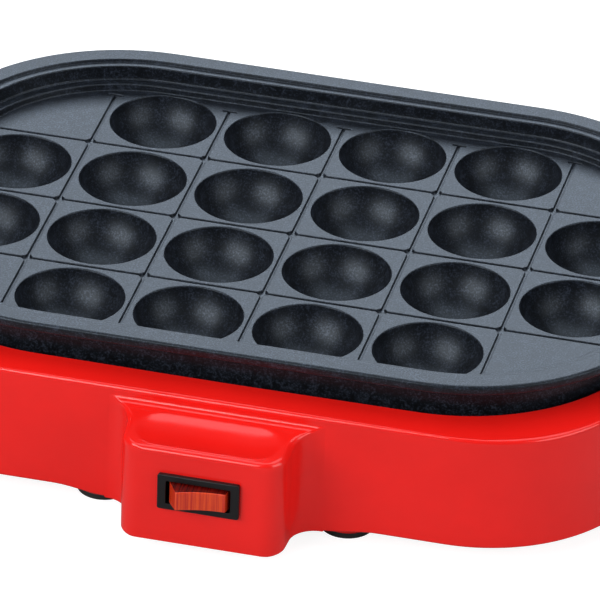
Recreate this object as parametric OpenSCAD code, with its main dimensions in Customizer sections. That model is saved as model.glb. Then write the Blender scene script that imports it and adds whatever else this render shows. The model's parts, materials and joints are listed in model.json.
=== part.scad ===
// Countertop takoyaki maker: a cast non-stick plate of ball cavities that lifts
// out of a red plastic housing, with a sheathed heater, a heat shield and an
// illuminated rocker switch. Millimetres, +Z up, feet on z = 0.

/* [Cooking plate] */
// Distance between neighbouring ball cavities
cavity_pitch = 45; // [44:0.5:48]
// Radius of the round inside of a cavity
cavity_r = 20.3; // [18:0.1:20.4]
// Depth of a cavity below the cooking surface
cavity_depth = 18; // [14:0.5:19]
// Overall length of the plate
plate_l = 300; // [298:1:302]
// Overall width of the plate
plate_w = 210; // [208:1:212]
// Plan radius of the plate's corners
plate_corner_r = 78; // [72:1:82]
// Height of the cooking surface above the table
cook_z = 62; // [60:1:66]
// Height of the rim's top above the cooking surface
rim_h = 9.3; // [8:0.1:11]
// Thickness of the overhanging rim
rim_t = 4; // [3:0.5:5]
// Width of the dividing channels between the cells
channel_w = 1.6; // [1:0.1:2.4]
// Depth of the dividing channels
channel_d = 1; // [0.5:0.1:1.4]
// Thickness of the cast bowls under the cavities
bowl_wall = 2.1; // [1.6:0.1:2.1]

/* [Housing] */
// Overall length of the housing
house_l = 296; // [294:1:298]
// Width of the housing without the switch pod
house_w = 225; // [223:1:227]
// Plan radius of the housing's corners
house_corner_r = 62; // [58:1:64]
// Wall thickness of the housing
wall = 2.5; // [2:0.1:3]
// Height of the housing's lower edge
edge_z = 9; // [8:0.5:10]
// Height of the shoulder, where wall and sloping deck meet
shoulder_z = 54; // [53:0.5:55]
// Height of the inner edge of the deck
deck_z = 56.5; // [56:0.5:58]

/* [Switch pod] */
// Half of the pod's width
pod_half_w = 30.5; // [29:0.5:33]
// How far the pod's face stands in front of the plate's centre
pod_face = 136; // [134:1:137]
// Height of the pod's lower edge
pod_bottom = 6.7; // [6:0.1:8]
// Height of the pod's top
pod_top = 46.2; // [45:0.1:47]
// Height of the switch's centre
switch_z = 29.4; // [28:0.1:30]
// Tilt of the rocker each way
rocker_tilt = 11.5; // [6:0.5:12]

/* [Heater] */
// Diameter of the heater's metal sheath
heater_d = 6.6; // [6:0.1:6.8]
// Height of the heater's centre line
heater_z = 50.6; // [49:0.1:50.8]
// Height of the heat shield's floor, upper face
shield_z = 37; // [36:0.5:38]

/* [Feet and cord entry] */
// Radius of a rubber foot
foot_r = 10; // [9:0.5:10]
// Thickness of a rubber foot below its boss
foot_t = 2.6; // [2.4:0.1:3]
// Bore of the cord gland
gland_bore_d = 7.2; // [6:0.1:8]

/* [Hidden] */
$fn = 96;
hull_fn = 96;
gap = 0.05;
over = 0.5;

plate_a = plate_l / 2;
plate_b = plate_w / 2;
rim_top = cook_z + rim_h;
rim_under = rim_top - rim_t;
rim_face_w = 8.3;
rebate_d = 1.3;
rebate_w = 3.5;
ledge_h = 2.5;
ledge_w = 4.3;
web_t = 3;
skirt_inset = 9;
skirt_t = 3;
cavity_centre_z = cook_z - cavity_depth + cavity_r;
cavity_mouth_r = sqrt(cavity_r * cavity_r - pow(cavity_centre_z - cook_z, 2));
mouth_round = 0.9;
channel_corner = 3.1;
channel_end = 82.5;
cavity_rows = [-1.5, -0.5, 0.5, 1.5];
long_row = [-2.5, -1.5, -0.5, 0.5, 1.5, 2.5];
short_row = [-1.5, -0.5, 0.5, 1.5];

house_a = house_l / 2;
house_b = house_w / 2;
wall_draft = 1.1;
edge_round = 1;
deck_a = plate_a - 6.2;
deck_b = plate_b - 4.7;
deck_r = plate_corner_r - 3.8;
deck_t = 2.5;

shield_t = 0.8;
shield_rim_z = 46.8;
shield_a = 133.8;
shield_b = 89.8;
shield_r = 61;
shield_rim_inset = wall + wall_draft + 0.6;
shield_rim_a = house_a - shield_rim_inset;
shield_rim_b = house_b - shield_rim_inset;
shield_rim_r = house_corner_r - shield_rim_inset;
spacer_t = 3;
spacer_r = 3.8;
shield_fix = [
    [-122.5, 87], [122.5, 87], [-122.5, -87], [122.5, -87],
    [-40, 104.6], [40, 104.6], [-50, -104.6], [50, -104.6]
];
boss_r = 4;
pilot_r = 1.7;
screw_r = pilot_r - gap;
locator_l = 14;
locator_t = 1;
locator_h = 4;
locator_gap = 0.6;

pod_corner_r = 8;
pod_fillet_r = 10;
pod_edge_r = 1;
pod_face_round = 1.7;
pod_side_r = 2;
pod_top_fillet = 3;
cove_top_z = pod_top + pod_top_fillet;
wall_lean = atan(wall_draft / (shoulder_z - 1.2 - edge_z - edge_round));
pod_wall_y = house_b - (cove_top_z - edge_z - edge_round) * tan(wall_lean) - gap;
scoop_r = 27.75;
scoop_depth = 1.5;
scoop_half = 14;
scoop_y = 123.6;

bezel_l = 30.6;
bezel_h = 14.6;
bezel_t = 1.8;
frame_l = 28;
frame_h = 12.4;
frame_back = 115;
opening_l = 24;
opening_h = 9.6;
rocker_base_half = 11.4;
rocker_base_h = 9;
rocker_base_y = 2.4;
rocker_top_half = 9.05;
rocker_top_h = 7.5;
rocker_top_y = 9;
rocker_hollow_r = 46;
rocker_hollow_d = 0.9;
pivot_y = pod_face - 3.5;
pivot_r = 1.3;
pivot_clear = 0.05;
rocker_reach = rocker_top_half * sin(rocker_tilt) + rocker_top_y * cos(rocker_tilt);
blade_x = [-9, 0, 9];
blade_len = 8;
switch_lead_y = -frame_back + blade_len + 4.5;

heater_x0 = -2 * cavity_pitch;
heater_x1 = 121;
heater_y = cavity_pitch;
heater_bend_r = 12;
heater_end_z = 30.5;
pin_r = 1.3;
pin_end_z = 25;
bush_neck_r = 4.6;
bush_flange_r = 6;
bush_flange_t = 2.4;
clip_x = [-cavity_pitch, cavity_pitch];
clip_w = 8;
clip_t = 1;
clip_foot_l = 15;

stat_cap_r = 7.9;
stat_body_r = 7.6;
stat_flange_l = 30;
stat_flange_w = 12;
stat_hole_x = 11.9;
stat_body_len = 6.5;
stat_blade_x = 4.5;
stat_blade_len = 6;
stat_blade_z = shield_z - 2 * shield_t - stat_body_len - stat_blade_len;

cover_z = 10;
cover_t = 2.4;
cover_gap = 0.6;
cover_fix = [[-100, 103.6], [100, 103.6], [0, 106], [-100, -103.6], [100, -103.6]];
cover_rib_y = 109.2;
cover_boss_r = 4.5;
cover_boss_top = 43;
foot_xy = [[-46, -94.5], [46, -94.5], [-98, 80], [98, 80]];
foot_boss_r = foot_r + 0.6;
foot_boss_z = foot_t;
screw_head_r = 3.4;
screw_head_t = 1.8;

gland_x = 70;
gland_z = 27;
gland_flange_r = 8;
gland_flange_t = 2.5;
gland_neck_r = 6;
gland_inner_t = 3;
gland_y = house_b - wall_draft / 2;
gland_in_y = gland_y - wall - 0.6;

clamp_y = 92;
clamp_post_h = 7.6;
clamp_half = 9;
block_x = 26;
block_y = 78;
block_l = 34;
block_w = 18;
block_h = 12;
block_z = cover_z + cover_t;
pole_z = block_z + block_h / 2;
pole_x = [-7, 0, 7];
bridge_w = 4;
bridge_t = 1.4;

wire_d = 2.4;
wire_bend = 4.5;
wire_swell = 0.12;
wire_low_z = cover_z + cover_t + 1.5;
crimp_l = 8;
crimp_over = 1;
stat_lead_z = stat_blade_z + crimp_over - crimp_l / 2;
pin_lead_z = pin_end_z - crimp_over - crimp_l / 2;
fuse_x = 74;
fuse_y = 18;
fuse_z = 32.2;
fuse_r = 2;
fuse_len = 11;

front_reach = pivot_y + rocker_reach;
rear_reach = gland_y + gland_flange_t;
y_shift = (front_reach - rear_reach) / 2;

red = [0.88, 0.11, 0.09];
coating = [0.23, 0.25, 0.28];
black = [0.05, 0.05, 0.055];
steel = [0.72, 0.73, 0.74];
white = [0.93, 0.92, 0.88];
brass = [0.82, 0.66, 0.3];

// Places the plate-centred design so that the origin is under the middle of the whole object
module placed() {
    translate([0, y_shift, 0]) children();
}

// Rectangle of half sizes a and b with corners of radius r
module rounded_rect(a, b, r) {
    square([2 * (a - r), 2 * b], center = true);
    square([2 * a, 2 * (b - r)], center = true);
    for (sx = [-1, 1], sy = [-1, 1]) {
        translate([sx * (a - r), sy * (b - r)]) circle(r = r);
    }
}

// Flat slab with that outline, from z0 to z1
module slab(a, b, r, z0, z1) {
    translate([0, 0, z0]) linear_extrude(height = z1 - z0) rounded_rect(a, b, r);
}

// Thin slice of a shell at height z, set in from the outline by d
module slice(a, b, r, z, d = 0) {
    translate([0, 0, z])
        linear_extrude(height = 0.02)
            rounded_rect(a - d, b - d, r - d, $fn = hull_fn);
}

// Every cavity centre of the plate: two long rows between two short ones
module at_cavities() {
    for (row = cavity_rows) {
        for (col = abs(row) < 1 ? long_row : short_row) {
            translate([col * cavity_pitch, row * cavity_pitch, cavity_centre_z]) children();
        }
    }
}

// Unit vector of v
function unit(v) = v / norm(v);

// Round bar of diameter d through the points, with bends of radius r at the inner points;
// the bends can be thicker by swell, and the straight lengths then reach a little into them
module bent_bar(points, d, r, swell = 0) {
    last = len(points) - 1;
    function turn(i) = acos(unit(points[i] - points[i - 1]) * unit(points[i + 1] - points[i]));
    function setback(i) = (i == 0 || i == last) ? 0 : r * tan(turn(i) / 2);
    reach = 3 * swell;
    for (i = [0 : last - 1]) {
        u = unit(points[i + 1] - points[i]);
        from = points[i] + (setback(i) - (i == 0 ? 0 : reach)) * u;
        to = points[i + 1] - (setback(i + 1) - (i == last - 1 ? 0 : reach)) * u;
        straight_bar(from, to, d);
    }
    for (i = [1 : last - 1]) {
        u = unit(points[i] - points[i - 1]);
        v = unit(points[i + 1] - points[i]);
        n = unit(v - (v * u) * u);
        k = cross(-n, u);
        centre = points[i] - setback(i) * u + r * n;
        multmatrix([
            [-n[0], u[0], k[0], centre[0]],
            [-n[1], u[1], k[1], centre[1]],
            [-n[2], u[2], k[2], centre[2]],
            [0, 0, 0, 1]
        ])
            rotate_extrude(angle = turn(i))
                translate([r, 0]) circle(d = d + swell, $fn = 32);
    }
}

// Round bar of diameter d from one point to another
module straight_bar(from, to, d) {
    v = to - from;
    translate(from)
        rotate([0, acos(v[2] / norm(v)), atan2(v[1], v[0])])
            cylinder(d = d, h = norm(v), $fn = 32);
}

// Pan-head screw: head's bearing face at z = 0, shank upwards
module screw(r, length, head_r, head_t) {
    difference() {
        union() {
            translate([0, 0, -head_t]) cylinder(r = head_r, h = head_t, $fn = 48);
            translate([0, 0, -over]) cylinder(r = r, h = length + over, $fn = 48);
        }
        translate([0, 0, -head_t - over]) {
            cube([2.6, 0.8, 2 * over + 1.4], center = true);
            cube([0.8, 2.6, 2 * over + 1.4], center = true);
        }
    }
}

// Outline of one dividing channel network: long lines, short lines and widened crossings
module channels() {
    end_x = plate_a - rim_face_w - rebate_w - ledge_w - 1;
    translate([0, 0, cook_z - channel_d])
        linear_extrude(height = channel_d + over) {
            for (y = [-1, 0, 1]) {
                translate([0, y * cavity_pitch]) square([2 * end_x, channel_w], center = true);
            }
            for (x = [-2 : 2]) {
                translate([x * cavity_pitch, 0]) square([channel_w, 2 * channel_end], center = true);
                for (y = [-1, 0, 1]) {
                    translate([x * cavity_pitch, y * cavity_pitch])
                        rotate(45) square(channel_corner * sqrt(2), center = true);
                }
                for (s = [-1, 1]) {
                    translate([x * cavity_pitch, s * channel_end])
                        square([2 * channel_corner, channel_w], center = true);
                }
            }
        }
}

// One cavity with its rounded mouth
module cavity() {
    sphere(r = cavity_r);
    translate([0, 0, cook_z - cavity_centre_z])
        rotate_extrude()
            translate([cavity_mouth_r - over, -mouth_round])
                difference() {
                    square([mouth_round + over, mouth_round + over]);
                    translate([mouth_round + over, 0]) circle(r = mouth_round, $fn = 48);
                }
}

module cooking_plate() {
    in1 = rim_face_w;
    in2 = in1 + rebate_w;
    in3 = in2 + ledge_w;
    skirt_in = skirt_inset + skirt_t;
    color(coating)
        placed()
            difference() {
                union() {
                    slab(plate_a, plate_b, plate_corner_r, rim_under, rim_top);
                    difference() {
                        slab(plate_a - skirt_inset, plate_b - skirt_inset, plate_corner_r - skirt_inset,
                             shield_rim_z, rim_under + over);
                        slab(plate_a - skirt_in, plate_b - skirt_in, plate_corner_r - skirt_in,
                             shield_rim_z - over, cook_z - web_t);
                    }
                    at_cavities() sphere(r = cavity_r + bowl_wall);
                }
                slab(plate_a - in1, plate_b - in1, plate_corner_r - in1,
                     rim_top - rebate_d, rim_top + cavity_r);
                slab(plate_a - in2, plate_b - in2, plate_corner_r - in2, cook_z + ledge_h, rim_top);
                slab(plate_a - in3, plate_b - in3, plate_corner_r - in3, cook_z, cook_z + ledge_h + over);
                channels();
                at_cavities() cavity();
            }
}

// Outside of the housing without the pod
module house_outside() {
    hull() {
        slice(house_a, house_b, house_corner_r, edge_z, edge_round);
        slice(house_a, house_b, house_corner_r, edge_z + edge_round);
        slice(house_a, house_b, house_corner_r, shoulder_z - 1.2, wall_draft);
        slice(house_a, house_b, house_corner_r, shoulder_z - 0.35, wall_draft + 0.35);
        slice(house_a, house_b, house_corner_r, shoulder_z, wall_draft + 1.2);
        slice(deck_a + 0.6, deck_b + 0.6, deck_r + 0.6, deck_z);
    }
}

// Hollow of the housing, open at the bottom
module house_inside() {
    hull() {
        slice(house_a, house_b, house_corner_r, edge_z - 1, wall);
        slice(house_a, house_b, house_corner_r, shoulder_z - deck_t, wall + wall_draft);
        slice(deck_a + 0.6, deck_b + 0.6, deck_r + 0.6, deck_z - deck_t - 0.1);
    }
}

// Plan of the switch pod, set in by d from its surface
module pod_plan(d) {
    half = pod_half_w - d;
    face = pod_face - d;
    r = pod_corner_r - d;
    back = d > 0 ? house_b - 12 : house_b - 2;
    translate([-half, -(face - r)]) square([2 * half, face - r - back]);
    translate([-(half - r), -face]) square([2 * (half - r), r + over]);
    for (s = [-1, 1]) {
        translate([s * (half - r), -(face - r)]) circle(r = r);
    }
}

// Front view of the switch pod, with rounded corners
module pod_front(d) {
    half = pod_half_w - d;
    top = pod_top - d;
    low = pod_bottom + (d > 0 ? -2 : 0);
    side = pod_side_r - min(d, 2);
    translate([-half, low + pod_edge_r]) square([2 * half, top - side - low - pod_edge_r]);
    translate([-(half - pod_edge_r), low]) square([2 * (half - pod_edge_r), pod_edge_r + over]);
    translate([-(half - side), top - side - over]) square([2 * (half - side), side + over]);
    for (s = [-1, 1]) {
        translate([s * (half - pod_edge_r), low + pod_edge_r]) circle(r = pod_edge_r);
        translate([s * (half - side), top - side]) circle(r = side);
    }
}

// The pod as a solid, set in by d from its surface
module pod_solid(d) {
    r = max(pod_face_round - d, 0.2);
    intersection() {
        linear_extrude(height = pod_top + 2) pod_plan(d);
        translate([-pod_half_w, 0, 0])
            rotate([90, 0, 90])
                linear_extrude(height = 2 * pod_half_w) {
                    translate([d - pod_face, 0]) square([pod_face - 90, pod_top - d - r]);
                    translate([d - pod_face + r, 0]) square([pod_face - 90, pod_top + over]);
                    translate([d - pod_face + r, pod_top - d - r]) circle(r = r);
                }
        translate([0, -90, 0])
            rotate([90, 0, 0])
                linear_extrude(height = 60) pod_front(d);
    }
}

// Concave blends between the pod and the leaning wall: side and top coves that meet in mitres
module pod_fillets() {
    reach = pod_half_w + pod_fillet_r;
    intersection() {
        translate([0, -pod_wall_y, cove_top_z])
            rotate([-wall_lean, 0, 0])
                translate([0, 0, pod_bottom - 2 - cove_top_z])
                    linear_extrude(height = cove_top_z - pod_bottom + 3)
                        difference() {
                            translate([-reach, -pod_fillet_r]) square([2 * reach, pod_fillet_r + 1]);
                            for (s = [-1, 1]) {
                                translate([s * reach, -pod_fillet_r]) circle(r = pod_fillet_r);
                            }
                        }
        translate([-reach, 0, 0])
            rotate([90, 0, 90])
                linear_extrude(height = 2 * reach)
                    difference() {
                        translate([-pod_wall_y - pod_fillet_r - 2, pod_bottom])
                            square([pod_fillet_r + 3, cove_top_z - pod_bottom]);
                        translate([-pod_wall_y - pod_top_fillet, cove_top_z]) circle(r = pod_top_fillet);
                        translate([-pod_wall_y - pod_fillet_r - 3, pod_top])
                            square([pod_fillet_r - pod_top_fillet + 3, pod_top_fillet + over]);
                    }
    }
}

// Lower edge of the wall where it comes down on both sides to meet the pod
module pod_lip() {
    inner = pod_half_w + pod_fillet_r;
    rise = edge_z + edge_round;
    translate([0, wall - house_b, 0])
        rotate([90, 0, 0])
            linear_extrude(height = wall)
                polygon([
                    [-inner - 22, rise], [-inner - 17, edge_z], [-inner - 9, (edge_z + pod_bottom) / 2],
                    [-inner, pod_bottom], [inner, pod_bottom],
                    [inner + 9, (edge_z + pod_bottom) / 2], [inner + 17, edge_z], [inner + 22, rise]
                ]);
}

// Finger-nail shaped hollow on top of the pod
module pod_scoop() {
    translate([0, -scoop_y, pod_top - scoop_depth + scoop_r]) {
        rotate([0, 90, 0]) cylinder(r = scoop_r, h = 2 * scoop_half, center = true);
        for (s = [-1, 1]) {
            translate([s * scoop_half, 0, 0]) sphere(r = scoop_r);
        }
    }
}

module housing() {
    color(red)
        placed()
            difference() {
                union() {
                    difference() {
                        union() {
                            house_outside();
                            difference() {
                                union() {
                                    pod_solid(0);
                                    pod_fillets();
                                    pod_lip();
                                }
                                pod_scoop();
                            }
                        }
                        house_inside();
                        pod_solid(wall);
                    }
                    for (p = shield_fix) {
                        translate([p[0], p[1], shield_rim_z + spacer_t])
                            cylinder(r = boss_r, h = shoulder_z - shield_rim_z - spacer_t - 0.6);
                    }
                    for (p = cover_fix) {
                        translate([p[0], p[1], cover_z + cover_t])
                            cylinder(r = cover_boss_r, h = cover_boss_top - cover_z - cover_t);
                        translate([p[0] - 1, p[1] > 0 ? p[1] : -cover_rib_y, cover_z + cover_t])
                            cube([2, cover_rib_y - abs(p[1]), cover_boss_top - cover_z - cover_t]);
                    }
                }
                slab(deck_a, deck_b, deck_r, shoulder_z - 8, deck_z + 1);
                for (p = shield_fix) {
                    translate([p[0], p[1], shield_rim_z]) cylinder(r = pilot_r, h = spacer_t + 3.4);
                }
                for (p = cover_fix) {
                    translate([p[0], p[1], cover_z]) cylinder(r = pilot_r, h = 16);
                }
                translate([0, -pod_face, switch_z])
                    cube([frame_l + 0.3, 4 * wall, frame_h + 0.3], center = true);
                translate([gland_x, gland_y, gland_z])
                    rotate([-90, 0, 0]) {
                        cylinder(r = gland_neck_r + gap, h = 20, center = true);
                        cylinder(r = gland_flange_r + 0.2, h = gland_flange_t);
                    }
            }
}

module bottom_cover() {
    a = house_a - wall - cover_gap;
    b = house_b - wall - cover_gap;
    r = house_corner_r - wall - cover_gap;
    color(red)
        placed()
            difference() {
                union() {
                    slab(a, b, r, cover_z, cover_z + cover_t);
                    translate([0, 0, cover_z])
                        linear_extrude(height = cover_t) pod_plan(wall + cover_gap);
                    for (p = foot_xy) {
                        translate([p[0], p[1], foot_boss_z])
                            cylinder(r = foot_boss_r, h = cover_z + cover_t - foot_boss_z);
                    }
                    for (s = [-1, 1]) {
                        translate([gland_x + s * clamp_half, clamp_y, cover_z])
                            cylinder(r = 3.6, h = cover_t + clamp_post_h);
                        translate([block_x + s * (block_l / 2 + 3), block_y, cover_z])
                            cylinder(r = 3, h = cover_t);
                    }
                }
                for (p = foot_xy) {
                    translate([p[0], p[1], foot_boss_z + 4])
                        difference() {
                            cylinder(r = foot_boss_r - 2, h = 20);
                            cylinder(r = 3.6, h = 20);
                        }
                    translate([p[0], p[1], 0]) cylinder(r = pilot_r, h = 30);
                }
                for (p = cover_fix) {
                    translate([p[0], p[1], 0]) cylinder(r = 2.2, h = 30);
                }
                for (s = [-1, 1]) {
                    translate([gland_x + s * clamp_half, clamp_y, cover_z + 1])
                        cylinder(r = pilot_r, h = 30);
                    translate([block_x + s * (block_l / 2 - 3), block_y, cover_z - 1])
                        cylinder(r = pilot_r, h = 30);
                }
                for (x = [-84 : 12 : 84], y = [-24, 24]) {
                    translate([x, y, cover_z - 1]) vent_slot();
                }
            }
}

// One ventilation slot of the bottom cover
module vent_slot() {
    linear_extrude(height = cover_t + 2) {
        square([4, 26], center = true);
        for (s = [-1, 1]) {
            translate([0, s * 13]) circle(r = 2, $fn = 32);
        }
    }
}

module heat_shield() {
    color(steel)
        placed()
            difference() {
                union() {
                    slab(shield_a + shield_t, shield_b + shield_t, shield_r + shield_t,
                         shield_z - shield_t, shield_rim_z);
                    slab(shield_rim_a, shield_rim_b, shield_rim_r, shield_rim_z - shield_t, shield_rim_z);
                    for (x = [-60, 60], s = [-1, 1]) {
                        translate([x, s * (plate_b - skirt_inset + locator_gap + locator_t / 2),
                                   shield_rim_z + locator_h / 2 - 0.1])
                            cube([locator_l, locator_t, locator_h + 0.2], center = true);
                    }
                }
                difference() {
                    slab(shield_a, shield_b, shield_r, shield_z, shield_rim_z + 1);
                    for (y = [-66, 66]) {
                        translate([0, y, shield_z]) cube([150, 6, 2.4], center = true);
                    }
                }
                for (p = shield_fix) {
                    translate([p[0], p[1], shield_rim_z - 4]) cylinder(r = 2.2, h = 8);
                }
                for (s = [-1, 1]) {
                    translate([heater_x1, s * heater_y, shield_z - 4])
                        cylinder(r = bush_neck_r + gap, h = 8);
                    translate([s * stat_hole_x, 0, shield_z - 4]) cylinder(r = 1.6, h = 8);
                    for (x = clip_x) {
                        translate([x, s * heater_y + clip_foot_l / 2 - 3, shield_z - 4])
                            cylinder(r = 1.7, h = 8);
                    }
                }
                translate([0, 0, shield_z - 4]) cylinder(r = stat_cap_r + 0.3, h = 8);
                translate([fuse_x, fuse_y + 5, shield_z - 4]) cylinder(r = 1.6, h = 8);
            }
}

module shield_spacers() {
    color(white)
        placed()
            for (p = shield_fix) {
                translate([p[0], p[1], shield_rim_z])
                    difference() {
                        cylinder(r = spacer_r, h = spacer_t);
                        translate([0, 0, -1]) cylinder(r = 2.2, h = spacer_t + 2);
                    }
            }
}

module shield_screws() {
    color(steel)
        placed()
            for (p = shield_fix) {
                translate([p[0], p[1], shield_rim_z - shield_t]) screw(screw_r, spacer_t + 3.6, 3.6, 2);
            }
}

module heating_element() {
    color([0.36, 0.33, 0.32])
        placed()
            bent_bar([
                [heater_x1, heater_y, heater_end_z],
                [heater_x1, heater_y, heater_z],
                [heater_x0, heater_y, heater_z],
                [heater_x0, -heater_y, heater_z],
                [heater_x1, -heater_y, heater_z],
                [heater_x1, -heater_y, heater_end_z]
            ], heater_d, heater_bend_r);
}

module heater_pins() {
    color(steel)
        placed()
            for (s = [-1, 1]) {
                translate([heater_x1, s * heater_y, pin_end_z])
                    cylinder(r = pin_r, h = heater_end_z - pin_end_z, $fn = 32);
            }
}

module heater_bushes() {
    color(white)
        placed()
            for (s = [-1, 1]) {
                translate([heater_x1, s * heater_y, 0])
                    difference() {
                        union() {
                            translate([0, 0, shield_z - shield_t - 4]) cylinder(r = bush_neck_r, h = 6);
                            translate([0, 0, shield_z]) cylinder(r = bush_flange_r, h = bush_flange_t);
                        }
                        translate([0, 0, shield_z - 10]) cylinder(r = heater_d / 2 + gap, h = 20);
                    }
            }
}

// Strap that holds the heater tube: ring, post and foot
module heater_clip() {
    ring_r = heater_d / 2 + gap;
    difference() {
        union() {
            translate([0, 0, heater_z])
                rotate([0, 90, 0]) cylinder(r = ring_r + clip_t, h = clip_w, center = true);
            translate([-clip_w / 2, -clip_t / 2, shield_z])
                cube([clip_w, clip_t, heater_z - shield_z - ring_r]);
            translate([-clip_w / 2, -clip_t / 2, shield_z]) cube([clip_w, clip_foot_l / 2 + 2, clip_t]);
        }
        translate([0, 0, heater_z]) rotate([0, 90, 0]) cylinder(r = ring_r, h = 2 * clip_w, center = true);
        translate([0, clip_foot_l / 2 - 3, shield_z - 1]) cylinder(r = 1.7, h = 4);
    }
}

module heater_clips() {
    color(steel)
        placed()
            for (x = clip_x, s = [-1, 1]) {
                translate([x, s * heater_y, 0]) heater_clip();
            }
}

module clip_rivets() {
    color(steel)
        placed()
            for (x = clip_x, s = [-1, 1]) {
                translate([x, s * heater_y + clip_foot_l / 2 - 3, 0]) {
                    translate([0, 0, shield_z + clip_t]) cylinder(r = 2.6, h = 1);
                    translate([0, 0, shield_z - shield_t - 1])
                        cylinder(r = 1.65, h = shield_t + clip_t + 1.5);
                    translate([0, 0, shield_z - shield_t - 1]) cylinder(r = 2.6, h = 1);
                }
            }
}

module thermostat_cap() {
    under = shield_z - shield_t;
    color([0.8, 0.81, 0.82])
        placed()
            difference() {
                union() {
                    translate([0, 0, under - 0.8]) cylinder(r = stat_cap_r, h = 3.4);
                    translate([-stat_flange_l / 2, -stat_flange_w / 2, under - 0.8])
                        cube([stat_flange_l, stat_flange_w, 0.8]);
                }
                for (s = [-1, 1]) {
                    translate([s * stat_hole_x, 0, under - 2]) cylinder(r = 1.6, h = 4);
                }
            }
}

module thermostat_body() {
    top = shield_z - 2 * shield_t;
    color([0.12, 0.1, 0.09])
        placed()
            translate([0, 0, top - stat_body_len]) cylinder(r = stat_body_r, h = stat_body_len);
}

module thermostat_blades() {
    color(steel)
        placed()
            for (s = [-1, 1]) {
                translate([s * stat_blade_x, 0, stat_blade_z + stat_blade_len / 2])
                    cube([0.8, 6.3, stat_blade_len], center = true);
            }
}

module thermostat_screws() {
    color(steel)
        placed()
            for (s = [-1, 1]) {
                translate([s * stat_hole_x, 0, shield_z - shield_t - 0.8]) screw(1.5, 4.6, 2.8, 1.8);
            }
}

module thermal_fuse() {
    color([0.78, 0.76, 0.7])
        placed()
            translate([fuse_x - fuse_len / 2, fuse_y, fuse_z])
                rotate([0, 90, 0]) {
                    cylinder(r = fuse_r, h = fuse_len, $fn = 48);
                    translate([0, 0, -4]) cylinder(r = 0.5, h = fuse_len + 8, $fn = 24);
                }
}

module fuse_clip() {
    color(steel)
        placed()
            difference() {
                union() {
                    translate([fuse_x, fuse_y, fuse_z])
                        rotate([0, 90, 0]) cylinder(r = fuse_r + 0.9, h = 6, center = true);
                    translate([fuse_x - 3, fuse_y, shield_z - shield_t - 0.8]) cube([6, 9, 0.8]);
                    translate([fuse_x - 3, fuse_y - 0.45, fuse_z + fuse_r])
                        cube([6, 0.9, shield_z - shield_t - fuse_z - fuse_r]);
                }
                translate([fuse_x, fuse_y, fuse_z])
                    rotate([0, 90, 0]) cylinder(r = fuse_r + gap, h = 20, center = true);
                translate([fuse_x, fuse_y + 5, shield_z - 4]) cylinder(r = 1.6, h = 8);
            }
}

module switch_frame() {
    color(black)
        placed()
            translate([0, 0, switch_z])
                difference() {
                    union() {
                        translate([-bezel_l / 2, -(pod_face + bezel_t), -bezel_h / 2])
                            cube([bezel_l, bezel_t, bezel_h]);
                        translate([-frame_l / 2, -pod_face - 0.5, -frame_h / 2])
                            cube([frame_l, pod_face + 0.5 - frame_back, frame_h]);
                    }
                    translate([-opening_l / 2, -(pod_face + bezel_t + 1), -opening_h / 2])
                        cube([opening_l, 13.5, opening_h]);
                    translate([0, -pivot_y, 0])
                        cylinder(r = pivot_r + pivot_clear, h = opening_h + 2, center = true);
                    translate([0, -frame_back - 5, 0])
                        rotate([0, 90, 0]) cylinder(r = 2.6, h = 14, center = true);
                }
}

// Rocker's block before it is tilted: tapered on all four sides, with a hollowed face
module rocker_block() {
    intersection() {
        linear_extrude(height = rocker_base_h, center = true)
            difference() {
                polygon([
                    [-rocker_top_half, -rocker_top_y], [rocker_top_half, -rocker_top_y],
                    [rocker_base_half, -rocker_base_y], [3.6, 3], [-3.6, 3],
                    [-rocker_base_half, -rocker_base_y]
                ]);
                translate([0, -rocker_top_y - rocker_hollow_r + rocker_hollow_d])
                    circle(r = rocker_hollow_r);
            }
        translate([-rocker_base_half - over, 0, 0])
            rotate([90, 0, 90])
                linear_extrude(height = 2 * (rocker_base_half + over))
                    polygon([
                        [-rocker_top_y - over, -rocker_top_h / 2], [-rocker_top_y - over, rocker_top_h / 2],
                        [-rocker_base_y, rocker_base_h / 2 + gap], [3 + over, rocker_base_h / 2 + gap],
                        [3 + over, -rocker_base_h / 2 - gap], [-rocker_base_y, -rocker_base_h / 2 - gap]
                    ]);
    }
}

module rocker() {
    color([0.9, 0.38, 0.08])
        placed()
            translate([0, -pivot_y, switch_z])
                rotate([0, 0, rocker_tilt]) {
                    rocker_block();
                    cylinder(r = pivot_r, h = opening_h + 1.6, center = true, $fn = 48);
                }
}

module switch_lamp() {
    color([1, 0.62, 0.3])
        placed()
            translate([0, -frame_back - 5, switch_z])
                rotate([0, 90, 0]) {
                    cylinder(r = 2.4, h = 9, center = true, $fn = 48);
                    for (s = [-1, 1]) {
                        translate([0, 0, s * 4.5]) sphere(r = 2.4, $fn = 48);
                    }
                }
}

module switch_blades() {
    color(brass)
        placed()
            for (x = blade_x) {
                translate([x - 0.4, -frame_back, switch_z - 2.4]) cube([0.8, blade_len, 4.8]);
            }
}

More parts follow.
